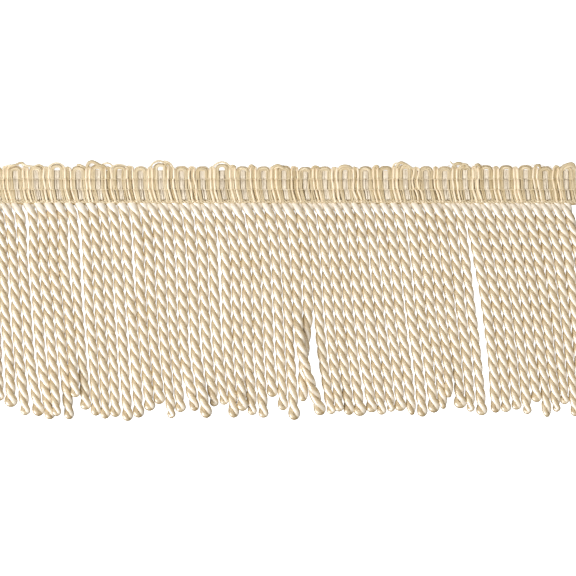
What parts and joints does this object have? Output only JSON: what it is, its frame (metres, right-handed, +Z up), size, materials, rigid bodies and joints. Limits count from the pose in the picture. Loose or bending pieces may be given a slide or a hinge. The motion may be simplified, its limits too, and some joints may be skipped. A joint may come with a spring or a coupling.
{
  "type": "bullion fringe trim",
  "caption": "Cut length of upholstery bullion fringe: a ribbed woven heading with a skirt of thick cream and tan two-ply twisted loop cords, lying flat.",
  "frame": {"origin": "middle of the whole trim's footprint, on the surface it lies on", "axes": "+X along the trim, +Y from the cord tips to the heading's looped edge, +Z up from the surface, face up"},
  "size_m": [0.1842, 0.078, 0.0059],
  "materials": {
    "heading_yarn": "flat tan multi-filament yarn with shiny pale fine yarn between",
    "cord_yarn": "soft lustrous cream to tan multi-filament yarn, two-ply twisted"
  },
  "bodies": {
    "root": {"heading": "heading_yarn", "skirt_left": "cord_yarn", "skirt_right": "cord_yarn"}
  },
  "joints": []
}
